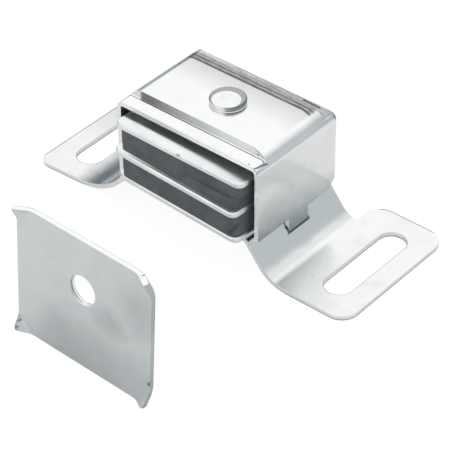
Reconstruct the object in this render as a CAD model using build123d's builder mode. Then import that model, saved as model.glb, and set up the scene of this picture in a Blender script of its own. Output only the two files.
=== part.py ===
from build123d import *
import math
import os

# Magnetic catch for a cabinet door, with its strike plate.
# The origin lies on the mounting surface, under the middle of the housing.
# X runs along the base, Y towards the back, Z up. Sizes in millimetres.

# Base: one strip of sheet, folded up in the middle into a bridge
base_sheet = 0.9
base_length = 76.2
neck_lap_front = 0.51
neck_lap_back = 0.91
pad_flare = 0.56
flare_start_right = 19.5
flare_end_right = 24.5
flare_start_left = 25.0
ear_length = 6.43
ear_step = 1.98
pad_corner = 3.6
left_front_corner = 2.4
bridge_height = 7.59
bridge_inset_right = 2.44
bridge_inset_left = 1.31
ramp_spread = 5.35
bridge_bend = 1.5
foot_bend_right = 5.0
foot_bend_left = 14.0

# Screw slots, one across each pad
slot_width = 5.8
slot_length = 21.7
slot_inset = 7.18
slot_middle = 3.15

# Housing: a folded strap with a panel pressed up in its top
wall_sheet = 0.9
housing_width = 34.02
housing_depth = 22.58
wall_lap = 0.05
rim_bend = 1.5
rim_strip = 2.99
panel_rise = 1.88
panel_bend = 4.3
panel_foot = 0.5
wall_chamfer = 1.9

# Tabs under the walls, and the notches that they drop into
tab_width = 5.6
tab_shift = 0.5
tab_through = 0.9
notch_clearance = 0.3
notch_gap = 0.08

# Rivet through housing, pack and base, a little off the middle
rivet_x = 0.95
rivet_y = -0.55
shank_radius = 2.0
head_radius = 3.55
head_thickness = 1.0
head_round = 0.35
peen_overhang = 1.2
peen_thickness = 0.9
peen_chamfer = 0.4
rivet_clearance = 0.1
pack_clearance = 0.08

# Magnet pack: three pole plates with two pairs of magnet slabs between
pack_float = 0.2
pack_headroom = 1.78
pack_side_gap = 0.75
pack_back_gap = 2.69
plate_thickness = 1.2
plate_corner = 1.6
plate_chamfer = 0.25
slab_thickness = 2.5
slab_end_inset = 0.76
slab_back_inset = 0.2
slab_shift = 0.2
slab_corner = 1.6

# How far each layer stands out of the housing, and its turn about the rivet
bottom_plate_reach = 2.9
middle_plate_reach = 3.61
top_plate_reach = 2.87
slab_reach = 2.76
lower_turn = -2.65
middle_turn = -2.52
upper_turn = -0.36

# Strike plate, standing in front and leaning back a little
strike_width = 32.07
strike_height = 27.17
strike_sheet = 1.15
strike_hole_radius = 2.95
strike_hole_from_top = 10.49
prong_leg = 4.3
prong_bend = 1.6
prong_angle = 40.0
prong_length = 1.7
prong_point = 0.3
strike_x = 9.33
strike_y = -50.38
strike_lean = 3.84
strike_yaw = -1.55

# Sizes that follow from the ones above
half_base = base_length / 2
half_width = housing_width / 2
half_depth = housing_depth / 2
inner_width = housing_width - 2 * wall_sheet
bridge_right = half_width - bridge_inset_right
bridge_left = half_width - bridge_inset_left
foot_right = bridge_right + ramp_spread
foot_left = bridge_left + ramp_spread
ear_right = foot_right + ear_step
ear_left = foot_left + ear_step
neck_front = half_depth + neck_lap_front
neck_back = half_depth + neck_lap_back
pad_front = neck_front + pad_flare
ear_back = neck_back + ear_length
slot_middle_x = half_base - slot_inset
bridge_underside = bridge_height - base_sheet
pack_bottom = bridge_height + pack_float
pack_top = pack_bottom + 3 * plate_thickness + 4 * slab_thickness
rim_inner = pack_top + pack_headroom
rim_height = rim_inner + wall_sheet
housing_bottom = bridge_height - wall_lap
panel_top = rim_height + panel_rise
panel_inner = panel_top - wall_sheet
panel_depth = housing_depth - 2 * rim_strip
panel_pocket = panel_depth - 2 * wall_sheet
plate_length = inner_width - 2 * pack_side_gap
plate_back = half_depth - pack_back_gap
slab_length = plate_length - 2 * slab_end_inset
slab_back = plate_back - slab_back_inset
head_top = panel_top + head_thickness

# The tabs end a little under the lower skin of the ramp on the right, which is the lower one there
tab_middle = half_width - wall_sheet / 2
ramp_slope = (bridge_height - base_sheet) / ramp_spread
ramp_sheet = base_sheet * math.sqrt(1 + ramp_slope**2)
tab_end = base_sheet + (foot_right - tab_middle) * ramp_slope - ramp_sheet - tab_through

# Base plate: the fold seen from the front, cut to the plan outline
with BuildPart() as base_plate:
    with BuildSketch(Plane.XZ.offset(pad_front)):
        with BuildLine():
            fold = FilletPolyline(
                (-half_base, base_sheet),
                (-foot_left, base_sheet),
                (-bridge_left, bridge_height),
                (bridge_right, bridge_height),
                (foot_right, base_sheet),
                (half_base, base_sheet),
                radius=[foot_bend_left, bridge_bend, bridge_bend, foot_bend_right],
            )
            offset(fold, amount=base_sheet, side=Side.RIGHT)
        make_face()
    extrude(amount=-(pad_front + ear_back))
    with BuildSketch():
        with BuildLine():
            Polyline(
                (-half_base, -pad_front),
                (-flare_start_left, -neck_front),
                (flare_start_right, -neck_front),
                (flare_end_right, -pad_front),
                (half_base, -pad_front),
                (half_base, ear_back),
                (ear_right, ear_back),
                (ear_right, neck_back),
                (-ear_left, neck_back),
                (-ear_left, ear_back),
                (-half_base, ear_back),
                close=True,
            )
        make_face()
        left_end = vertices().group_by(Axis.X)[0].sort_by(Axis.Y)
        right_end = vertices().group_by(Axis.X)[-1]
        ears = vertices().group_by(Axis.Y)[-1].sort_by(Axis.X)[1:3]
        fillet(left_end[-1:] + right_end + ears, radius=pad_corner)
        fillet(vertices().group_by(Axis.X)[0].sort_by(Axis.Y)[0], radius=left_front_corner)
    extrude(amount=bridge_height, mode=Mode.INTERSECT)
    with BuildSketch():
        with Locations((-slot_middle_x, slot_middle), (slot_middle_x, slot_middle)):
            SlotOverall(slot_length, slot_width, rotation=90)
    extrude(amount=bridge_height, mode=Mode.SUBTRACT)
    with BuildSketch():
        with Locations((-tab_middle, tab_shift), (tab_middle, tab_shift)):
            Rectangle(wall_sheet + 2 * notch_gap, tab_width + 2 * notch_clearance)
        with Locations((rivet_x, rivet_y)):
            Circle(shank_radius + rivet_clearance)
    extrude(amount=bridge_height, mode=Mode.SUBTRACT)
base_plate.part.label = "base_plate"

# Housing: the rim's arch and the panel's arch, hollowed by the same two arches one sheet smaller
with BuildPart() as housing:
    arches = (
        (housing_width, rim_height, rim_bend, housing_depth, Mode.ADD),
        (housing_width, panel_top, panel_bend, panel_depth, Mode.ADD),
        (inner_width, rim_inner, rim_bend - wall_sheet, housing_depth, Mode.SUBTRACT),
        (inner_width, panel_inner, panel_bend - wall_sheet, panel_pocket, Mode.SUBTRACT),
    )
    for width, top, bend, depth, mode in arches:
        with BuildSketch(Plane.XZ):
            with Locations((0, housing_bottom)):
                Rectangle(width, top - housing_bottom, align=(Align.CENTER, Align.MIN))
            fillet(vertices().group_by(Axis.Y)[-1], radius=bend)
        extrude(amount=depth / 2, both=True, mode=mode)
        if top == panel_top:
            steps = edges().filter_by(Axis.X).group_by(Axis.Z)[-2].group_by(Axis.Y)
            fillet(steps[1] + steps[-2], radius=panel_foot)
    feet = edges().filter_by(Axis.X).group_by(Axis.Z)[0]
    chamfer(feet.group_by(Axis.Y)[-1], length=wall_chamfer)
    with BuildSketch(Plane.XY.offset(housing_bottom)):
        with Locations((-tab_middle, tab_shift), (tab_middle, tab_shift)):
            Rectangle(wall_sheet, tab_width)
    extrude(amount=tab_end - housing_bottom)
    with Locations((rivet_x, rivet_y, panel_inner)):
        Cylinder(
            shank_radius + rivet_clearance,
            wall_sheet,
            align=(Align.CENTER, Align.CENTER, Align.MIN),
            mode=Mode.SUBTRACT,
        )
housing.part.label = "housing"

# Rivet: flat round head on the panel, plain shank, end peened over under the bridge
with BuildPart() as rivet:
    with BuildSketch(Plane(origin=(rivet_x, rivet_y, 0), x_dir=(1, 0, 0), z_dir=(0, -1, 0))):
        with BuildLine():
            Polyline(
                (0, bridge_underside - peen_thickness),
                (shank_radius + peen_overhang, bridge_underside - peen_thickness),
                (shank_radius + peen_overhang, bridge_underside),
                (shank_radius, bridge_underside),
                (shank_radius, panel_top),
                (head_radius, panel_top),
                (head_radius, head_top),
                (0, head_top),
                close=True,
            )
        make_face()
    revolve(axis=Axis((rivet_x, rivet_y, 0), (0, 0, 1)))
    chamfer(edges().filter_by(GeomType.CIRCLE).group_by(Axis.Z)[0], length=peen_chamfer)
    fillet(edges().filter_by(GeomType.CIRCLE).group_by(Axis.Z)[-1], radius=head_round)
rivet.part.label = "rivet"

# Magnet pack, from the bridge upwards
plate = (plate_thickness, plate_length, 0, plate_back, plate_corner)
slab = (slab_thickness, slab_length, slab_shift, slab_back, slab_corner)
layers = (
    ("pole_plate_bottom", plate, bottom_plate_reach, lower_turn),
    ("magnet_slab_4", slab, slab_reach, lower_turn),
    ("magnet_slab_3", slab, slab_reach, lower_turn),
    ("pole_plate_middle", plate, middle_plate_reach, middle_turn),
    ("magnet_slab_2", slab, slab_reach, lower_turn),
    ("magnet_slab_1", slab, slab_reach, upper_turn),
    ("pole_plate_top", plate, top_plate_reach, upper_turn),
)
pack = []
layer_bottom = pack_bottom
for label, shape, reach, turn in layers:
    thickness, length, shift, back, corner = shape
    with BuildPart() as layer:
        with BuildSketch(Plane(origin=(rivet_x, rivet_y, layer_bottom)).rotated((0, 0, turn))):
            with Locations((shift - rivet_x, -half_depth - reach - rivet_y)):
                Rectangle(length, half_depth + reach + back, align=(Align.CENTER, Align.MIN))
            fillet(vertices(), radius=corner)
            Circle(shank_radius + pack_clearance, mode=Mode.SUBTRACT)
        extrude(amount=thickness)
        if shape is plate:
            skins = faces().filter_by(Axis.Z)
            chamfer([edge for skin in skins for edge in skin.outer_wire().edges()], length=plate_chamfer)
    layer.part.label = label
    pack.append(layer.part)
    layer_bottom += thickness

# One corner prong of the strike: bent out of the plate along X, towards Y, and cut to a point
bend_angle = math.radians(prong_angle)
prong_base = prong_leg / math.sqrt(2)
prong_tip = prong_bend * math.sin(bend_angle) + prong_length * math.cos(bend_angle) + prong_point
with BuildPart() as prong:
    with BuildSketch():
        with BuildLine():
            bend = JernArc((0, 0), (1, 0), prong_bend, prong_angle)
            PolarLine(bend @ 1, prong_length, direction=bend % 1)
            offset(amount=strike_sheet, side=Side.RIGHT)
        make_face()
    extrude(amount=prong_leg, both=True)
    with BuildSketch(Plane.XZ):
        with BuildLine():
            Polyline((0, -prong_base), (prong_tip, 0), (0, prong_base), close=True)
        make_face()
    extrude(amount=prong_leg, both=True, mode=Mode.INTERSECT)

# Strike plate laid out with its front face at Y = 0 and its bottom edge at Z = 0
with BuildPart() as strike_flat:
    with BuildSketch(Plane.XZ):
        Rectangle(strike_width, strike_height, align=(Align.CENTER, Align.MIN))
        chamfer(vertices(), length=prong_leg)
        with Locations((0, strike_height - strike_hole_from_top)):
            Circle(strike_hole_radius, mode=Mode.SUBTRACT)
    extrude(amount=-strike_sheet)
    for across in (-1, 1):
        for up in (-1, 1):
            corner_x = across * (strike_width - prong_leg) / 2
            corner_z = (strike_height + up * (strike_height - prong_leg)) / 2
            root = Plane(origin=(corner_x, 0, corner_z), x_dir=(across, 0, up), z_dir=(up, 0, -across))
            with Locations(root.location):
                add(prong.part)

# The same plate stood on its lower back edge
strike_lift = strike_sheet * math.sin(math.radians(strike_lean))
turned = Location((strike_x, strike_y, strike_lift)) * Location((0, 0, 0), (0, 0, strike_yaw))
with BuildPart() as strike_plate:
    add(strike_flat.part.moved(turned * Location((0, 0, 0), (-strike_lean, 0, 0))))
strike_plate.part.label = "strike_plate"

os.makedirs("parts", exist_ok=True)
for piece in [base_plate.part, housing.part, rivet.part, strike_plate.part] + pack:
    export_step(piece, f"parts/{piece.label}.step")
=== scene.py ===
import math

import bpy
from mathutils import Matrix, Vector

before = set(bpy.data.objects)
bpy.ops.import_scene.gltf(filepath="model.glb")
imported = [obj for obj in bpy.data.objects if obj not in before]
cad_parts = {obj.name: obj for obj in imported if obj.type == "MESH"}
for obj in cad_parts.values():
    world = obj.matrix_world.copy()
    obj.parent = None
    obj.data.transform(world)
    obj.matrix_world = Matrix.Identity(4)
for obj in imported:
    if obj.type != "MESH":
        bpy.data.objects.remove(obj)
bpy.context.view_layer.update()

MM = 1000.0

# Pieces that share one material
PLATES = ("pole_plate_top", "pole_plate_middle", "pole_plate_bottom")
SLABS = ("magnet_slab_1", "magnet_slab_2", "magnet_slab_3", "magnet_slab_4")

# Camera, at the photograph's place and angle
CAMERA_PLACE = Vector((0.214814, -0.251653, 0.260153))
CAMERA_YAW = 0.70665
CAMERA_PITCH = -0.67447
CAMERA_ROLL = -0.00847
FOCAL_PIXELS = 2200.0
IMAGE_PIXELS = 454.0
SENSOR_MM = 36.0
CLIP_START = 0.01
CLIP_END = 20.0

# Edges of the pieces, in metres
SHEET_EDGE = 0.00016
PLATE_EDGE = 0.00010
SLAB_EDGE = 0.00018
EDGE_SEGMENTS = 2
EDGE_ANGLE = math.radians(32)
WELD_DISTANCE = 0.000002
NORMAL_WEIGHT = 80

# Surroundings: a soft level for matt surfaces, and white where they are seen
SOFT_LEVEL = 0.9
WHITE_LEVEL = 1.0
WHITE = (1.0, 1.0, 1.0)

# Floor, in metres, with the share and level of white that the camera sees
FLOOR_SIZE = 6.0
FLOOR_DROP = 0.00002
FLOOR_WHITE = 0.86
FLOOR_LIFT = 1.08
FLOOR_TONE = (0.86, 0.865, 0.87)

# Horizon card, in metres, its colours at the foot, and the degrees of height over which it turns white
HORIZON_RADIUS = 0.16
HORIZON_SIDES = 96
HORIZON_RIGHT = (0.50, 0.54, 0.55)
HORIZON_LEFT = (0.25, 0.30, 0.33)
HORIZON_FRONT = (0.84, 0.86, 0.86)
RIGHT_DEGREES = (24.0, 45.0)
LEFT_DEGREES = (15.0, 25.0)

# Where the card changes colour from left to right and from back to front, as shares of its radius
TURN_RIGHT = (-0.30, 0.45)
TURN_FRONT = (0.15, -0.50)

# How much each axis counts: all alike, or only the distance from an upright or a level axis
EVEN = (1.0, 1.0, 1.0)
ROUND_Z = (1.0, 1.0, 0.0)
ROUND_Y = (1.0, 0.0, 1.0)

# Dark tones that several marks share, most of them painted shade
SHADE_AND_GRIME_TONE = (0.05, 0.055, 0.06)
SHADE_LINE_TONE = (0.03, 0.035, 0.04)
PAINTED_SHADE_TONE = (0.04, 0.045, 0.05)
SHADOW_TONE = (0.10, 0.12, 0.13)

# Parts of a normal along an axis, from none of an effect to all of it
FACING = (0.75, 0.95)
STEP_FACING = (-0.35, -0.7)
LEFT_BEND_FACING = (-0.80, -0.92)
FOOT_FACING = (0.5, 0.8)
CUT_FACING = (0.5, 0.3)
RIVET_SIDE_FACING = (0.5, 0.2)
PLATE_FACING = (0.5, 0.9)

# Parts of a normal to the right on slopes and bends: between the two, or from one to the other
RIGHT_BEND_SLOPE = (0.3, 0.85)
RIGHT_RAMP_SLOPE = (0.30, 0.68)
LEFT_RAMP_SLOPE = (-0.55, -0.30)
SLOPE_SOFT = 0.08

# Plated sheet: noise levels between which each kind of wear fades in, its share, and depths in millimetres
ROLLING_GRAIN = (0.25, 6.0, 6.0)
CLOUD_CONTRAST = (0.35, 0.68)
GRAIN_CONTRAST = (0.3, 0.75)
SMUDGE_CONTRAST = (0.50, 0.75)
PIT_CONTRAST = (0.74, 0.80)
STREAK_CONTRAST = (0.35, 0.65)
HAZE_CONTRAST = (0.3, 0.7)
ROUGH_CONTRAST = (0.3, 0.8)
GRAIN_SHARE = 0.16
SMUDGE_SHARE = 0.22
PIT_SHARE = 0.30
CLOUD_ROUGHNESS = 0.06
SMUDGE_ROUGHNESS = 0.08
GRAIN_ROUGHNESS = 0.04
GRAIN_DEPTH = 0.003
DENT_DEPTH = 0.02
FINISH_STRENGTH = 0.3

# Tones of the housing, its painted shade tones, and its streaks along the sheet and up the step
HOUSING_BRIGHT = (0.965, 0.97, 0.972)
HOUSING_DULL = (0.93, 0.94, 0.945)
HOUSING_WORN = (0.70, 0.72, 0.74)
PANEL_SHADE_TONE = (0.03, 0.04, 0.045)
PANEL_REAR_TONE = (0.10, 0.11, 0.12)
STRIP_TONE = (0.14, 0.155, 0.165)
WALL_SHADE_TONE = (0.02, 0.045, 0.06)
DIMPLE_TONE = (0.07, 0.08, 0.09)
LONG_STREAKS = (0.35, 8.0, 8.0)
UPRIGHT_STREAKS = (9.0, 1.0, 0.8)

# Places on the housing, in millimetres: a pair is the range of an effect
PANEL_HEIGHT = (25.2, 25.6)
RIM_HEIGHT = (24.6, 24.3)
PANEL_FADE = (-1.0, 6.0)
PANEL_REAR = (5.7, 6.1)
REAR_LINE_NEAR = 6.24
REAR_LINE_NEAR_WIDTH = 0.34
REAR_LINE_FAR = 7.2
REAR_LINE_FAR_WIDTH = 0.26
REAR_STRIP = (8.2, 8.7)
REAR_STRIP_LEFT = (-16.0, 0.0)
WALL_LOW = (8.0, 17.5)
WALL_BACK = (-6.0, 9.0)
STEP_HEIGHT = (24.0, 26.3)
STEP_SHADE_RUN = (-11.0, 7.0)
STEP_START = (-14.0, -13.2)
FRONT_STRIP = (-8.2, -8.5)
SAG_RUN = (-11.29, -8.3)
SAG_DEPTH = 1.05
DIMPLE = (14.45, -8.3, 24.65)
RIM_DOT = (14.57, -10.92, 24.07)
CREASE_START = (16.1, -11.2, 23.95)
CREASE_END = (16.6, -8.25, 23.6)
REAR_CORNER = (16.9, 11.3, 23.5)
STRIP_TIP_START = (9.8, 10.75, 24.07)
STRIP_TIP_END = (13.4, 10.65, 24.07)
LEFT_BEND_HEIGHT = (22.5, 23.5)
RIGHT_BEND_BACK = (3.0, 8.0)

# Tones of the base, with painted shade on the left ramp and a painted highlight on cut edges, and the left
# ramp's shares of its shade where it is steep and where it runs level
BASE_BRIGHT = (0.945, 0.958, 0.952)
BASE_DULL = (0.88, 0.90, 0.895)
BASE_WORN = (0.58, 0.62, 0.63)
LEFT_RAMP_TONE = (0.09, 0.12, 0.125)
LEFT_RAMP_SHARES = (0.20, 0.56)
CUT_HIGHLIGHT_TONE = (0.97, 0.975, 0.975)

# Places on the base, in millimetres
FAR_LEFT_X = (-26.0, -34.0)
FAR_LEFT_Y = (-2.0, 9.0)
NEAR_RIGHT_END = (34.0, 27.0)
NEAR_RIGHT_START = (22.0, 25.0)
NEAR_RIGHT_Y = (-6.0, -12.0)
RIGHT_RAMP_START = (17.0, 18.0)
LEFT_RAMP_FOOT = (-29.5, -25.0)
LEFT_RAMP_TOP = (-16.0, -17.0)
LEFT_RAMP_BACK = (-3.0, 6.0)
TAB_FRONT_LOW = (17.15, -2.5, 4.45)
TAB_REAR_LOW = (17.15, 3.5, 4.45)
TAB_REAR_TOP = (16.5, 3.5, 5.1)
SLOT_X = 30.92
SLOT_FRONT = -4.8
SLOT_BACK = 11.1
SLOT_Z = 0.9
SLOT_REACH = 3.03
LEFT_END_LINE = (-37.78, -37.95)
REAR_END_LINE = (18.30, 18.48)
CUT_FOOT = (0.22, 0.10)

# Tones of the rivet: its ring and side tones are painted shade and highlight
RIVET_BRIGHT = (0.96, 0.965, 0.97)
RIVET_DULL = (0.90, 0.91, 0.92)
RIVET_WORN = (0.5, 0.53, 0.55)
RIVET_RING_SHADE = (0.15, 0.16, 0.17)
RIVET_SIDE_HIGHLIGHT = (0.92, 0.93, 0.93)
RIVET_SIDE_SHADE = (0.42, 0.43, 0.44)

# Places on the rivet, in millimetres, and the camera's right and near directions along the panel, which
# place its painted shade and highlight
RIVET_AXIS = (0.95, -0.55, 0.0)
RIVET_WHITE = (1.27, -1.37, 0.0)
RIVET_WHITE_RADIUS = 2.74
RIVET_WHITE_SOFT = 0.10
RIVET_RIM = (3.22, 3.46)
HEAD_START = (26.05, 26.15)
HEAD_SIDE = (26.32, 26.42)
HEAD_FOOT = (26.3, 26.15)
DARK_SIDE = (-1.2, 0.0)
PALE_SIDE = (0.0, -1.2)
NEAR_SIDE = (0.0, 1.2)
CAMERA_RIGHT = (0.76, 0.65, 0.0)
CAMERA_NEAR = (0.65, -0.76, 0.0)

# Tones of the pole plates
POLE_BRIGHT = (0.935, 0.958, 0.955)
POLE_DULL = (0.865, 0.895, 0.895)
POLE_WORN = (0.48, 0.52, 0.54)
NICK_TONE = (0.08, 0.09, 0.10)

# Places on the pole plates, in millimetres
CROWN_RUN = (-14.8, -11.2)
CROWN_SIDES = (-16.0, 14.0)
CROWN_DEPTH = 1.15
PLATE_NICK = (0.5, -14.3, 21.3)

# Tones of the strike: its shade tone is painted shade, and its top tone a painted highlight
STRIKE_BRIGHT = (0.765, 0.795, 0.80)
STRIKE_DULL = (0.715, 0.75, 0.755)
STRIKE_WORN = (0.56, 0.60, 0.62)
STRIKE_SHADE_TONE = (0.05, 0.065, 0.075)
STRIKE_TOP_HIGHLIGHT = (0.975, 0.98, 0.98)
STRIKE_WALL_TONE = (0.98, 0.985, 0.985)
TORN_CONTRAST = (0.42, 0.58)

# Places on the strike, in millimetres
STRIKE_HOLE = (9.36, 0.0, 16.7)
STRIKE_HOLE_WALL = (3.00, 2.92)
STRIKE_HOLE_LEFT = (9.6, 8.6)
STRIKE_NORMAL = (0.02699, 0.99739, -0.06697)
STRIKE_FRONT = -50.002
STRIKE_LIP = (STRIKE_FRONT + 0.36, STRIKE_FRONT + 0.26)
STRIKE_HOLE_LINE = (STRIKE_FRONT + 0.30, STRIKE_FRONT + 0.52)
STRIKE_HOLE_LINE_HEIGHT = (19.2, 17.0)
STRIKE_LOW_HEIGHT = (14.0, 4.0)
STRIKE_LOW_RIGHT = (20.0, 12.0)
STRIKE_LOW_LEFT = (-6.0, 4.0)
STRIKE_UPPER_SHADE = (22.5, 0.0, 19.0)
STRIKE_SHADE = (15.8, 0.0, 13.0)
STRIKE_SPOT = (25.3, -50.8, 5.2)
STRIKE_CORNER = (24.7, -51.5, 25.6)
STRIKE_PRONG_X = (-5.3, -6.1)
STRIKE_PRONG_HEIGHT = (3.6, 2.4)

# Ferrite: tones, one of them a painted shadow, noise levels between which each of them fades in, and
# roughness
FERRITE_DARK = (0.076, 0.086, 0.090)
FERRITE_PALE = (0.108, 0.120, 0.126)
FERRITE_GRAIN = (0.13, 0.14, 0.145)
FERRITE_RUBBED = (0.12, 0.13, 0.14)
FERRITE_SHADOW = (0.02, 0.022, 0.024)
FERRITE_CONTRAST = (0.45, 0.75)
RUB_CONTRAST = (0.55, 0.75)
SHADOW_PATCH_CONTRAST = (0.3, 0.6)
RUB_STRETCH = (0.5, 1.0, 2.2)
FERRITE_ROUGHNESS = (0.62, 0.8)

# Places on the slabs, in millimetres: a painted shadow at the lower right
SHADOW_PATCH_START = (12.9, -14.4, 9.9)
SHADOW_PATCH_END = (15.0, -13.4, 12.6)


def remove_start_objects():
    for name in ("Cube", "Light", "Camera"):
        if name in bpy.data.objects:
            bpy.data.objects.remove(bpy.data.objects[name])


def add_camera():
    forward = Vector((
        -math.sin(CAMERA_YAW) * math.cos(CAMERA_PITCH),
        math.cos(CAMERA_YAW) * math.cos(CAMERA_PITCH),
        math.sin(CAMERA_PITCH),
    ))
    level = forward.cross(Vector((0, 0, 1))).normalized()
    above = level.cross(forward)
    right = math.cos(CAMERA_ROLL) * level + math.sin(CAMERA_ROLL) * above
    up = -math.sin(CAMERA_ROLL) * level + math.cos(CAMERA_ROLL) * above
    data = bpy.data.cameras.new("camera")
    data.sensor_width = SENSOR_MM
    data.lens = FOCAL_PIXELS * SENSOR_MM / IMAGE_PIXELS
    data.clip_start = CLIP_START
    data.clip_end = CLIP_END
    camera = bpy.data.objects.new("camera", data)
    turn = Matrix((right, up, -forward)).transposed().to_4x4()
    camera.matrix_world = Matrix.Translation(CAMERA_PLACE) @ turn
    bpy.context.scene.collection.objects.link(camera)
    bpy.context.scene.camera = camera


class Graph:
    """The node tree of one material, with places measured in millimetres."""

    def __init__(self, name):
        self.material = bpy.data.materials.new(name)
        self.material.use_nodes = True
        self.nodes = self.material.node_tree.nodes
        self.links = self.material.node_tree.links
        self.nodes.clear()
        self.output = self.nodes.new("ShaderNodeOutputMaterial")
        coordinates = self.nodes.new("ShaderNodeTexCoord")
        self.place = self.scaled(coordinates.outputs["Object"], MM)
        self.x, self.y, self.z = self.split(self.place)
        self.normal_x, self.normal_y, self.normal_z = self.split(coordinates.outputs["Normal"])

    def put(self, socket, value):
        """Link a socket to another one, or set its value."""
        if isinstance(value, bpy.types.NodeSocket):
            self.links.new(value, socket)
        else:
            socket.default_value = value

    def split(self, vector):
        node = self.nodes.new("ShaderNodeSeparateXYZ")
        self.links.new(vector, node.inputs[0])
        return node.outputs

    def math(self, operation, first, second=0.0):
        node = self.nodes.new("ShaderNodeMath")
        node.operation = operation
        self.put(node.inputs[0], first)
        self.put(node.inputs[1], second)
        return node.outputs[0]

    def vector_math(self, operation, *values):
        node = self.nodes.new("ShaderNodeVectorMath")
        node.operation = operation
        for socket, value in zip(node.inputs, values):
            self.put(socket, value)
        return node

    def vector(self, operation, *values):
        return self.vector_math(operation, *values).outputs["Vector"]

    def measure(self, operation, *values):
        return self.vector_math(operation, *values).outputs["Value"]

    def scaled(self, vector, factor):
        node = self.vector_math("SCALE", vector)
        self.put(node.inputs["Scale"], factor)
        return node.outputs["Vector"]

    def product(self, *factors):
        result = factors[0]
        for factor in factors[1:]:
            result = self.math("MULTIPLY", result, factor)
        return result

    def largest(self, *values):
        result = values[0]
        for value in values[1:]:
            result = self.math("MAXIMUM", result, value)
        return result

    def remap(self, value, low, high, to_low=0.0, to_high=1.0, smooth=True):
        node = self.nodes.new("ShaderNodeMapRange")
        node.interpolation_type = "SMOOTHSTEP" if smooth else "LINEAR"
        self.put(node.inputs["Value"], value)
        node.inputs["From Min"].default_value = low
        node.inputs["From Max"].default_value = high
        node.inputs["To Min"].default_value = to_low
        node.inputs["To Max"].default_value = to_high
        return node.outputs[0]

    def inverse(self, share):
        return self.remap(share, 0.0, 1.0, 1.0, 0.0, smooth=False)

    def band(self, value, low, high, soft):
        rise = self.remap(value, low - soft, low + soft)
        fall = self.remap(value, high - soft, high + soft, 1.0, 0.0)
        return self.math("MULTIPLY", rise, fall)

    def line(self, value, place, width):
        """A soft line across a surface, where the value passes a place."""
        return self.band(value, place - width / 2, place + width / 2, width / 2)

    def stretched(self, scale, shift=(0.0, 0.0, 0.0)):
        node = self.nodes.new("ShaderNodeMapping")
        self.links.new(self.place, node.inputs["Vector"])
        node.inputs["Scale"].default_value = scale
        node.inputs["Location"].default_value = shift
        return node.outputs[0]

    def noise(self, vector, scale, detail, rough, warp=0.0):
        node = self.nodes.new("ShaderNodeTexNoise")
        self.links.new(vector, node.inputs["Vector"])
        node.inputs["Scale"].default_value = scale
        node.inputs["Detail"].default_value = detail
        node.inputs["Roughness"].default_value = rough
        node.inputs["Distortion"].default_value = warp
        return node.outputs["Fac"]

    def distance(self, point, stretch):
        offset = self.vector("SUBTRACT", self.place, point)
        return self.measure("LENGTH", self.vector("MULTIPLY", offset, stretch))

    def spot(self, point, radius, soft, stretch=EVEN):
        return self.remap(self.distance(point, stretch), radius - soft, radius + soft, 1.0, 0.0)

    def stroke(self, start, end, radius, soft):
        """1 near the straight run from start to end, 0 away from it."""
        run = Vector(end) - Vector(start)
        offset = self.vector("SUBTRACT", self.place, start)
        along = self.measure("DOT_PRODUCT", offset, run / run.length_squared)
        along = self.math("MINIMUM", self.math("MAXIMUM", along, 0.0), 1.0)
        away = self.measure("DISTANCE", offset, self.scaled(run, along))
        return self.remap(away, radius - soft, radius + soft, 1.0, 0.0)

    def mix(self, factor, first, second):
        node = self.nodes.new("ShaderNodeMix")
        node.data_type = "RGBA"
        self.put(node.inputs["Factor"], factor)
        for socket, value in ((node.inputs[6], first), (node.inputs[7], second)):
            self.put(socket, (*value, 1.0) if isinstance(value, tuple) else value)
        return node.outputs[2]

    def toward(self, tone, colour, *masks, share=1.0):
        """The tone moved towards a colour by a share, where all the masks are 1."""
        return self.mix(self.product(*masks, share), tone, colour)

    def blend(self, factor, first, second):
        node = self.nodes.new("ShaderNodeMix")
        node.data_type = "FLOAT"
        self.put(node.inputs["Factor"], factor)
        self.put(node.inputs[2], first)
        self.put(node.inputs[3], second)
        return node.outputs[0]

    def bump(self, height, depth, strength=1.0, before=None):
        node = self.nodes.new("ShaderNodeBump")
        node.inputs["Distance"].default_value = depth / MM
        node.inputs["Strength"].default_value = strength
        self.links.new(height, node.inputs["Height"])
        if before is not None:
            self.links.new(before, node.inputs["Normal"])
        return node.outputs[0]

    def finish(self, colour, roughness, metallic, normal):
        shader = self.nodes.new("ShaderNodeBsdfPrincipled")
        self.put(shader.inputs["Base Color"], colour)
        self.put(shader.inputs["Roughness"], roughness)
        self.put(shader.inputs["Metallic"], metallic)
        self.put(shader.inputs["Normal"], normal)
        self.links.new(shader.outputs[0], self.output.inputs[0])
        return self.material


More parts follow.
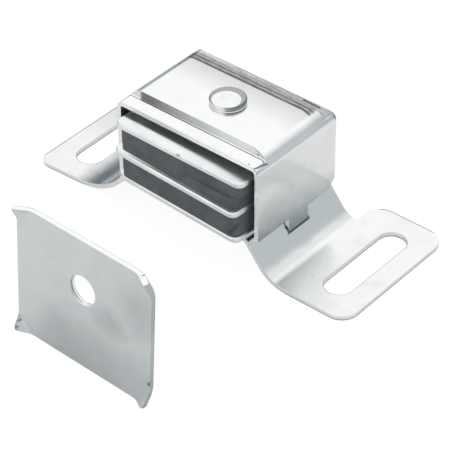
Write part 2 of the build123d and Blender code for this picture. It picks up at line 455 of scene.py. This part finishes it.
def plated(name, bright, dull, worn, smooth, mottle, cloud_scale=0.12):
    """Plated sheet: cloudy tone, fine rolling grain, faint smudges and small pits."""
    g = Graph(name)
    clouds = g.noise(g.place, scale=cloud_scale, detail=4.0, rough=0.55, warp=0.6)
    grain = g.noise(g.stretched(ROLLING_GRAIN), scale=1.6, detail=3.0, rough=0.6)
    smudges = g.noise(g.stretched(EVEN, shift=(31, 7, 3)), scale=0.24, detail=3.0, rough=0.5, warp=0.3)
    smudge = g.remap(smudges, *SMUDGE_CONTRAST)
    pits = g.noise(g.stretched(EVEN, shift=(5, 17, 2)), scale=2.6, detail=1.0, rough=0.4)
    tone = g.toward(bright, dull, g.remap(clouds, *CLOUD_CONTRAST), share=mottle)
    tone = g.toward(tone, dull, g.remap(grain, *GRAIN_CONTRAST), share=GRAIN_SHARE * mottle)
    tone = g.toward(tone, worn, smudge, share=SMUDGE_SHARE * mottle)
    tone = g.toward(tone, worn, g.remap(pits, *PIT_CONTRAST), share=PIT_SHARE)
    rough = g.blend(g.remap(clouds, *HAZE_CONTRAST), smooth, smooth + CLOUD_ROUGHNESS)
    rough = g.math("ADD", rough, g.product(smudge, SMUDGE_ROUGHNESS))
    rough = g.math("ADD", rough, g.product(g.remap(grain, *ROUGH_CONTRAST), GRAIN_ROUGHNESS))
    dents = g.noise(g.place, scale=0.45, detail=2.0, rough=0.5)
    normal = g.bump(grain, GRAIN_DEPTH, FINISH_STRENGTH)
    normal = g.bump(dents, DENT_DEPTH, FINISH_STRENGTH, normal)
    return g, tone, rough, normal


def housing_material():
    """Bright zinc, with brushed strips, painted shade on the panel, the step, the right wall and the
    bends, and small dark marks, most of them painted shade.
    """
    g, tone, rough, normal = plated(
        "housing_steel", HOUSING_BRIGHT, HOUSING_DULL, HOUSING_WORN, smooth=0.12, mottle=0.55,
    )
    flat = g.remap(g.normal_z, *FACING)
    on_panel = g.product(flat, g.remap(g.z, *PANEL_HEIGHT))
    on_rim = g.product(flat, g.remap(g.z, *RIM_HEIGHT))
    brushed = g.noise(g.stretched(LONG_STREAKS), scale=1.4, detail=3.0, rough=0.6)

    # Painted shade: the panel falls off slowly towards its rear edge, and ends in two fine dark lines of
    # painted shade
    fade = g.remap(g.y, *PANEL_FADE, to_high=0.27, smooth=False)
    tone = g.toward(tone, PANEL_SHADE_TONE, on_panel, fade)
    rear = g.product(on_panel, g.remap(g.y, *PANEL_REAR))
    rear_streaks = g.remap(brushed, *STREAK_CONTRAST, to_low=0.25, to_high=0.85)
    tone = g.toward(tone, PANEL_REAR_TONE, rear, rear_streaks)
    near = g.line(g.y, REAR_LINE_NEAR, REAR_LINE_NEAR_WIDTH)
    far = g.product(g.line(g.y, REAR_LINE_FAR, REAR_LINE_FAR_WIDTH), 0.8)
    tone = g.toward(tone, SHADE_LINE_TONE, on_panel, g.largest(near, far), share=0.95)

    # The strip behind the panel is brushed and dull, less so at the left
    strip = g.product(on_rim, g.remap(g.y, *REAR_STRIP))
    streaks = g.remap(brushed, *STREAK_CONTRAST, to_low=0.35, to_high=0.85)
    dulled = g.math("ADD", streaks, g.remap(g.x, *REAR_STRIP_LEFT, to_low=-0.25, to_high=0.0))
    tone = g.toward(tone, STRIP_TONE, strip, dulled)

    # Painted shade: the right wall is darker towards the bottom and the front, in place of its darker
    # reflections there
    wall = g.remap(g.normal_x, *FACING)
    low = g.remap(g.z, *WALL_LOW, to_low=0.60, to_high=0.0, smooth=False)
    back = g.remap(g.y, *WALL_BACK, to_high=0.33, smooth=False)
    wall_shade = g.math("MAXIMUM", g.math("SUBTRACT", low, back), 0.0)
    haze = g.noise(g.stretched(EVEN, shift=(4, 2, 9)), scale=0.30, detail=4.0, rough=0.5, warp=0.4)
    uneven = g.remap(haze, *HAZE_CONTRAST, to_low=0.93, to_high=1.07)
    tone = g.toward(tone, WALL_SHADE_TONE, wall, wall_shade, uneven)

    # Painted shade: the front step is dark at the left and brighter at the right, broken up by brushed
    # streaks
    step = g.product(g.remap(g.normal_y, *STEP_FACING), g.band(g.z, *STEP_HEIGHT, soft=0.1))
    step_shade = g.remap(g.x, *STEP_SHADE_RUN, to_low=0.78, to_high=0.04, smooth=False)
    step_shade = g.product(step_shade, g.remap(g.x, *STEP_START))
    upright = g.noise(g.stretched(UPRIGHT_STREAKS), scale=1.3, detail=3.0, rough=0.7)
    scratches = g.remap(upright, *HAZE_CONTRAST, to_low=0.86, to_high=1.14)
    tone = g.toward(tone, PAINTED_SHADE_TONE, step, step_shade, scratches)

    # The strip in front of the step sags a little towards the opening
    front_strip = g.product(on_rim, g.remap(g.y, *FRONT_STRIP))
    slope = g.remap(g.y, *SAG_RUN, smooth=False)
    normal = g.bump(g.product(slope, front_strip), SAG_DEPTH, before=normal)

    # Painted shade of a dimple under the step's right end, and a dark dot on the rim
    dimple = g.spot(DIMPLE, radius=0.22, soft=0.10)
    dot = g.spot(RIM_DOT, radius=0.16, soft=0.08)
    tone = g.toward(tone, DIMPLE_TONE, g.largest(dimple, dot), share=0.75)

    # Painted shade: a dark line along the crease at the front right corner, and dark tips at the rear
    # right
    crease = g.stroke(CREASE_START, CREASE_END, radius=0.13, soft=0.09)
    corner = g.product(g.spot(REAR_CORNER, radius=0.5, soft=0.25, stretch=(0.6, 1.0, 0.6)), 0.7)
    tip = g.stroke(STRIP_TIP_START, STRIP_TIP_END, radius=0.26, soft=0.18)
    tone = g.toward(tone, PAINTED_SHADE_TONE, g.largest(crease, corner, tip), share=0.85)

    # Painted shade on the top bends: the left one on its outside, the right one towards the back
    left_bend = g.product(g.remap(g.normal_x, *LEFT_BEND_FACING), g.remap(g.z, *LEFT_BEND_HEIGHT))
    tone = g.toward(tone, SHADE_AND_GRIME_TONE, left_bend, share=0.7)
    right_bend = g.band(g.normal_x, *RIGHT_BEND_SLOPE, SLOPE_SOFT)
    right_bend = g.product(right_bend, g.remap(g.y, *RIGHT_BEND_BACK))
    tone = g.toward(tone, SHADE_AND_GRIME_TONE, right_bend, share=0.12)
    return g.finish(tone, rough, 1.0, normal)


def base_material():
    """Satin zinc, with painted shade on the ramps, a painted highlight on the cut edges, and painted dark
    shade lines at the slots, the edges and the right tab.
    """
    g, tone, rough, normal = plated(
        "base_steel", BASE_BRIGHT, BASE_DULL, BASE_WORN, smooth=0.17, mottle=0.7,
    )

    # Faint shade on the back of the left foot and on the front of the right one
    far_left = g.product(g.remap(g.x, *FAR_LEFT_X), g.remap(g.y, *FAR_LEFT_Y))
    near_right = g.product(
        g.remap(g.x, *NEAR_RIGHT_END), g.remap(g.x, *NEAR_RIGHT_START), g.remap(g.y, *NEAR_RIGHT_Y), 0.6,
    )
    tone = g.toward(tone, SHADOW_TONE, g.largest(far_left, near_right), share=0.14)

    # Painted shade: the right ramp's slope is a little darker, and the left ramp is speckled and darker
    right_ramp = g.band(g.normal_x, *RIGHT_RAMP_SLOPE, SLOPE_SOFT)
    right_ramp = g.product(right_ramp, g.remap(g.x, *RIGHT_RAMP_START))
    tone = g.toward(tone, SHADOW_TONE, right_ramp, share=0.17)
    speckles = g.noise(g.place, scale=1.4, detail=3.0, rough=0.6)
    speckle = g.remap(speckles, *STREAK_CONTRAST, to_low=0.90, to_high=1.08)
    left_ramp = g.product(
        g.remap(g.x, *LEFT_RAMP_FOOT),
        g.remap(g.x, *LEFT_RAMP_TOP),
        g.remap(g.y, *LEFT_RAMP_BACK, to_low=1.0, to_high=0.55),
    )
    nearly_flat = g.remap(g.normal_x, *LEFT_RAMP_SLOPE)
    tone = g.toward(tone, LEFT_RAMP_TONE, left_ramp, speckle, g.blend(nearly_flat, *LEFT_RAMP_SHARES))

    # Painted shadow: a dark line follows the right tab, where it goes through the base
    tab_shadow = g.largest(
        g.stroke(TAB_FRONT_LOW, TAB_REAR_LOW, radius=0.24, soft=0.12),
        g.stroke(TAB_REAR_LOW, TAB_REAR_TOP, radius=0.24, soft=0.12),
    )
    tone = g.toward(tone, SHADE_LINE_TONE, tab_shadow, share=0.85)

    # Painted shade: a thin dark line follows both slots, the left end and the rear edges
    flat = g.remap(g.normal_z, *FOOT_FACING)
    slots = []
    for x in (-SLOT_X, SLOT_X):
        slots.append(g.stroke((x, SLOT_FRONT, SLOT_Z), (x, SLOT_BACK, SLOT_Z), SLOT_REACH, soft=0.07))
    ends = g.largest(g.remap(g.x, *LEFT_END_LINE), g.remap(g.y, *REAR_END_LINE))
    lines = g.largest(g.product(g.largest(*slots), 0.45), g.product(ends, 0.60))
    tone = g.toward(tone, SHADE_AND_GRIME_TONE, flat, lines)

    # A painted highlight on the cut edge of the sheet, with a dark line of painted shadow along its foot
    cut = g.remap(g.math("ABSOLUTE", g.normal_z), *CUT_FACING)
    tone = g.toward(tone, CUT_HIGHLIGHT_TONE, cut, share=0.8)
    tone = g.toward(tone, SHADE_AND_GRIME_TONE, cut, g.remap(g.z, *CUT_FOOT), share=0.8)
    return g.finish(tone, rough, 1.0, normal)


def rivet_material():
    """Bright zinc with painted shade and highlight: a shaded ring round a white middle, a dark rim, and a
    side that is pale at the left and dark at the right.
    """
    g, tone, rough, normal = plated(
        "rivet_steel", RIVET_BRIGHT, RIVET_DULL, RIVET_WORN, smooth=0.16, mottle=0.7, cloud_scale=0.4,
    )
    # Painted shade and highlight, placed by the camera's right and near directions: a shaded ring, a dark
    # rim and foot, and a side pale at the left and dark at the right
    offset = g.vector("SUBTRACT", g.place, RIVET_AXIS)
    rightward = g.measure("DOT_PRODUCT", offset, CAMERA_RIGHT)
    nearward = g.measure("DOT_PRODUCT", offset, CAMERA_NEAR)
    right = g.remap(rightward, *DARK_SIDE)
    pale = g.product(g.remap(nearward, *NEAR_SIDE), g.remap(rightward, *PALE_SIDE))
    darkness = g.remap(pale, 0.0, 1.0, to_low=1.0, to_high=0.25, smooth=False)
    head = g.remap(g.z, *HEAD_START)
    white = g.spot(RIVET_WHITE, RIVET_WHITE_RADIUS, RIVET_WHITE_SOFT, stretch=ROUND_Z)
    rim = g.product(head, g.remap(g.distance(RIVET_AXIS, ROUND_Z), *RIVET_RIM))
    side = g.product(head, g.remap(g.normal_z, *RIVET_SIDE_FACING))
    tone = g.toward(tone, RIVET_RING_SHADE, head, g.inverse(white), share=0.66)
    tone = g.toward(tone, SHADE_AND_GRIME_TONE, rim, darkness, share=0.75)
    side_tone = g.mix(right, RIVET_SIDE_HIGHLIGHT, RIVET_SIDE_SHADE)
    tone = g.toward(tone, side_tone, side, g.remap(g.z, *HEAD_SIDE), share=0.8)
    tone = g.toward(tone, SHADE_AND_GRIME_TONE, side, darkness, g.remap(g.z, *HEAD_FOOT), share=0.45)
    return g.finish(tone, rough, 1.0, normal)


def pole_material():
    """Satin nickel plates, rubbed round at the front, more at the left, with one nick."""
    g, tone, rough, normal = plated(
        "pole_steel", POLE_BRIGHT, POLE_DULL, POLE_WORN, smooth=0.30, mottle=1.0,
    )
    flat = g.remap(g.normal_z, *PLATE_FACING)
    crown = g.remap(g.y, *CROWN_RUN)
    left = g.remap(g.x, *CROWN_SIDES, to_low=1.45, to_high=0.05, smooth=False)
    normal = g.bump(g.product(crown, left, flat), CROWN_DEPTH, before=normal)
    nick = g.spot(PLATE_NICK, radius=0.32, soft=0.14, stretch=(0.6, 1.0, 1.0))
    tone = g.toward(tone, NICK_TONE, nick, share=0.8)
    return g.finish(tone, rough, 1.0, normal)


def strike_material():
    """Satin zinc with painted shade in soft dark clouds, a painted highlight on the top edges, painted
    shade on the right side, and torn, dark corners.
    """
    g, tone, rough, normal = plated(
        "strike_steel", STRIKE_BRIGHT, STRIKE_DULL, STRIKE_WORN, smooth=0.30, mottle=0.8,
    )
    # Painted shade: darker across the lower part and in two soft spots towards the right, broken up by
    # soft clouds
    shade_clouds = g.noise(g.stretched(EVEN, shift=(8, 3, 5)), scale=0.18, detail=3.0, rough=0.5, warp=0.5)
    shade_breakup = g.remap(shade_clouds, *HAZE_CONTRAST, to_low=0.85, to_high=1.15)
    low = g.product(
        g.remap(g.z, *STRIKE_LOW_HEIGHT),
        g.remap(g.x, *STRIKE_LOW_RIGHT, to_low=0.6),
        g.remap(g.x, *STRIKE_LOW_LEFT),
        0.22,
    )
    smudge = g.product(g.spot(STRIKE_UPPER_SHADE, radius=4.0, soft=4.0, stretch=(1.0, 0.0, 0.8)), 0.20)
    shade = g.product(g.spot(STRIKE_SHADE, radius=2.6, soft=2.6, stretch=(0.8, 0.0, 1.0)), 0.26)
    tone = g.toward(tone, STRIKE_SHADE_TONE, g.largest(low, smudge, shade), shade_breakup)
    # Painted highlight on faces that look up, and painted shade on faces that look right
    tone = g.toward(tone, STRIKE_TOP_HIGHLIGHT, g.remap(g.normal_z, *FACING))
    tone = g.toward(tone, SHADOW_TONE, g.remap(g.normal_x, *FACING), share=0.28)

    # The hole's wall is bright and matt. At its left the face's tone rolls in, up to a dark line of
    # painted shade
    away = g.distance(STRIKE_HOLE, ROUND_Y)
    depth = g.measure("DOT_PRODUCT", g.place, STRIKE_NORMAL)
    wall = g.remap(away, *STRIKE_HOLE_WALL)
    left = g.remap(g.x, *STRIKE_HOLE_LEFT)
    lip = g.product(left, g.remap(depth, *STRIKE_LIP))
    bright = g.product(wall, g.inverse(lip))
    tone = g.toward(tone, STRIKE_WALL_TONE, bright)
    hole_line = g.product(wall, left, g.band(depth, *STRIKE_HOLE_LINE, soft=0.05))
    tone = g.toward(tone, SHADE_LINE_TONE, hole_line, g.remap(g.z, *STRIKE_HOLE_LINE_HEIGHT, to_low=0.35, to_high=0.95))

    # Rough, dark corners and a nick on the right edge
    prong = g.product(g.remap(g.x, *STRIKE_PRONG_X), g.remap(g.z, *STRIKE_PRONG_HEIGHT))
    torn = g.remap(g.noise(g.place, scale=2.2, detail=3.0, rough=0.7), *TORN_CONTRAST)
    nick = g.spot(STRIKE_SPOT, radius=0.55, soft=0.2)
    corner = g.product(g.spot(STRIKE_CORNER, radius=0.7, soft=0.4), torn)
    tone = g.toward(tone, SHADE_AND_GRIME_TONE, g.largest(g.product(prong, torn), g.largest(nick, corner)), share=0.75)
    return g.finish(tone, rough, g.inverse(bright), normal)


def magnet_material():
    """Sintered ferrite: dark slate, matt, with fine grain, a few rubbed places and a painted shadow at the
    lower right.
    """
    g = Graph("ferrite")
    clouds = g.noise(g.place, scale=0.22, detail=4.0, rough=0.6, warp=0.4)
    grains = g.noise(g.place, scale=5.0, detail=3.0, rough=0.7)
    rubs = g.noise(g.stretched(RUB_STRETCH, shift=(3, 9, 1)), scale=0.5, detail=4.0, rough=0.6)
    tone = g.toward(FERRITE_DARK, FERRITE_PALE, g.remap(clouds, *STREAK_CONTRAST))
    tone = g.toward(tone, FERRITE_GRAIN, g.remap(grains, *FERRITE_CONTRAST), share=0.35)
    tone = g.toward(tone, FERRITE_RUBBED, g.remap(rubs, *RUB_CONTRAST), share=0.3)
    # Painted shadow: a dark jagged patch at the lower right, broken up by the grain
    shadow_patch = g.stroke(SHADOW_PATCH_START, SHADOW_PATCH_END, radius=0.42, soft=0.2)
    tone = g.toward(tone, FERRITE_SHADOW, shadow_patch, g.remap(grains, *SHADOW_PATCH_CONTRAST), share=0.8)
    rough = g.blend(clouds, *FERRITE_ROUGHNESS)
    return g.finish(tone, rough, 0.0, g.bump(grains, DENT_DEPTH, 0.5))


def dress(names, material, edge):
    """Give pieces a material and broken edges, with normals that keep the flat faces flat."""
    for name in names:
        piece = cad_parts[name]
        piece.data.materials.clear()
        piece.data.materials.append(material)
        weld = piece.modifiers.new("weld", "WELD")
        weld.merge_threshold = WELD_DISTANCE
        bevel = piece.modifiers.new("edge", "BEVEL")
        bevel.width = edge
        bevel.segments = EDGE_SEGMENTS
        bevel.limit_method = "ANGLE"
        bevel.angle_limit = EDGE_ANGLE
        normals = piece.modifiers.new("normals", "WEIGHTED_NORMAL")
        normals.mode = "FACE_AREA_WITH_ANGLE"
        normals.weight = NORMAL_WEIGHT
        normals.keep_sharp = False


def rays(nodes, links, kinds):
    """1 for any of these kinds of ray, 0 for the rest."""
    path = nodes.new("ShaderNodeLightPath")
    result = path.outputs[kinds[0]]
    for kind in kinds[1:]:
        larger = nodes.new("ShaderNodeMath")
        larger.operation = "MAXIMUM"
        links.new(result, larger.inputs[0])
        links.new(path.outputs[kind], larger.inputs[1])
        result = larger.outputs[0]
    return result


def add_world():
    """White where it is seen, directly or in metal, and a plain soft level for the rest."""
    world = bpy.data.worlds.new("studio")
    world.use_nodes = True
    bpy.context.scene.world = world
    nodes = world.node_tree.nodes
    links = world.node_tree.links
    nodes.clear()
    output = nodes.new("ShaderNodeOutputWorld")
    mixed = nodes.new("ShaderNodeMixShader")
    seen = rays(nodes, links, ("Is Camera Ray", "Is Glossy Ray", "Is Transmission Ray"))
    links.new(seen, mixed.inputs[0])
    for socket, level in ((mixed.inputs[1], SOFT_LEVEL), (mixed.inputs[2], WHITE_LEVEL)):
        light = nodes.new("ShaderNodeBackground")
        light.inputs["Color"].default_value = (*WHITE, 1.0)
        light.inputs["Strength"].default_value = level
        links.new(light.outputs[0], socket)
    links.new(mixed.outputs[0], output.inputs[0])


def link_mesh(name, points, faces):
    mesh = bpy.data.meshes.new(name)
    mesh.from_pydata(points, [], faces)
    mesh.update()
    piece = bpy.data.objects.new(name, mesh)
    bpy.context.scene.collection.objects.link(piece)
    return piece


def add_floor():
    """Pale floor: nearly white to the camera, with a faint shadow kept, and plain pale in metal."""
    half = FLOOR_SIZE / 2
    corners = [(x * half, y * half, -FLOOR_DROP) for x, y in ((-1, -1), (1, -1), (1, 1), (-1, 1))]
    floor = link_mesh("floor", corners, [(0, 1, 2, 3)])
    g = Graph("floor_paint")
    paint = g.nodes.new("ShaderNodeBsdfDiffuse")
    paint.inputs["Color"].default_value = (*FLOOR_TONE, 1.0)
    glow = g.nodes.new("ShaderNodeEmission")
    glow.inputs["Strength"].default_value = FLOOR_LIFT
    mixed = g.nodes.new("ShaderNodeMixShader")
    seen = rays(g.nodes, g.links, ("Is Camera Ray", "Is Transmission Ray"))
    g.links.new(g.product(seen, FLOOR_WHITE), mixed.inputs[0])
    g.links.new(paint.outputs[0], mixed.inputs[1])
    g.links.new(glow.outputs[0], mixed.inputs[2])
    g.links.new(mixed.outputs[0], g.output.inputs[0])
    floor.data.materials.append(g.material)


def card_height(degrees):
    """Height in metres at which the card is seen at this angle from the part."""
    return HORIZON_RADIUS * math.tan(math.radians(degrees))


def add_horizon():
    """A soft card that only shiny surfaces show: grey right, dark rear left, pale front left."""
    points = []
    for level in (0.0, card_height(max(RIGHT_DEGREES))):
        for i in range(HORIZON_SIDES):
            angle = 2 * math.pi * i / HORIZON_SIDES
            points.append((HORIZON_RADIUS * math.cos(angle), HORIZON_RADIUS * math.sin(angle), level))
    faces = []
    for i in range(HORIZON_SIDES):
        j = (i + 1) % HORIZON_SIDES
        faces.append((i, j, j + HORIZON_SIDES, i + HORIZON_SIDES))
    card = link_mesh("horizon_card", points, faces)
    g = Graph("horizon_paint")
    reach = HORIZON_RADIUS * MM
    to_right = g.remap(g.x, *(share * reach for share in TURN_RIGHT))
    to_front = g.remap(g.y, *(share * reach for share in TURN_FRONT))
    left = g.mix(to_front, HORIZON_LEFT, HORIZON_FRONT)
    low = g.mix(to_right, left, HORIZON_RIGHT)
    white_right = g.remap(g.z, *(card_height(degrees) * MM for degrees in RIGHT_DEGREES))
    white_left = g.remap(g.z, *(card_height(degrees) * MM for degrees in LEFT_DEGREES))
    tone = g.mix(g.blend(to_right, white_left, white_right), low, WHITE)
    glow = g.nodes.new("ShaderNodeEmission")
    g.links.new(tone, glow.inputs["Color"])
    g.links.new(glow.outputs[0], g.output.inputs[0])
    card.data.materials.append(g.material)
    card.visible_camera = False
    card.visible_diffuse = False
    card.visible_shadow = False


remove_start_objects()
add_camera()
add_world()
add_floor()
add_horizon()

dress(("base_plate",), base_material(), SHEET_EDGE)
dress(("housing",), housing_material(), SHEET_EDGE)
dress(("rivet",), rivet_material(), PLATE_EDGE)
dress(("strike_plate",), strike_material(), SHEET_EDGE)
dress(PLATES, pole_material(), PLATE_EDGE)
dress(SLABS, magnet_material(), SLAB_EDGE)

bpy.context.scene.view_settings.view_transform = "Standard"
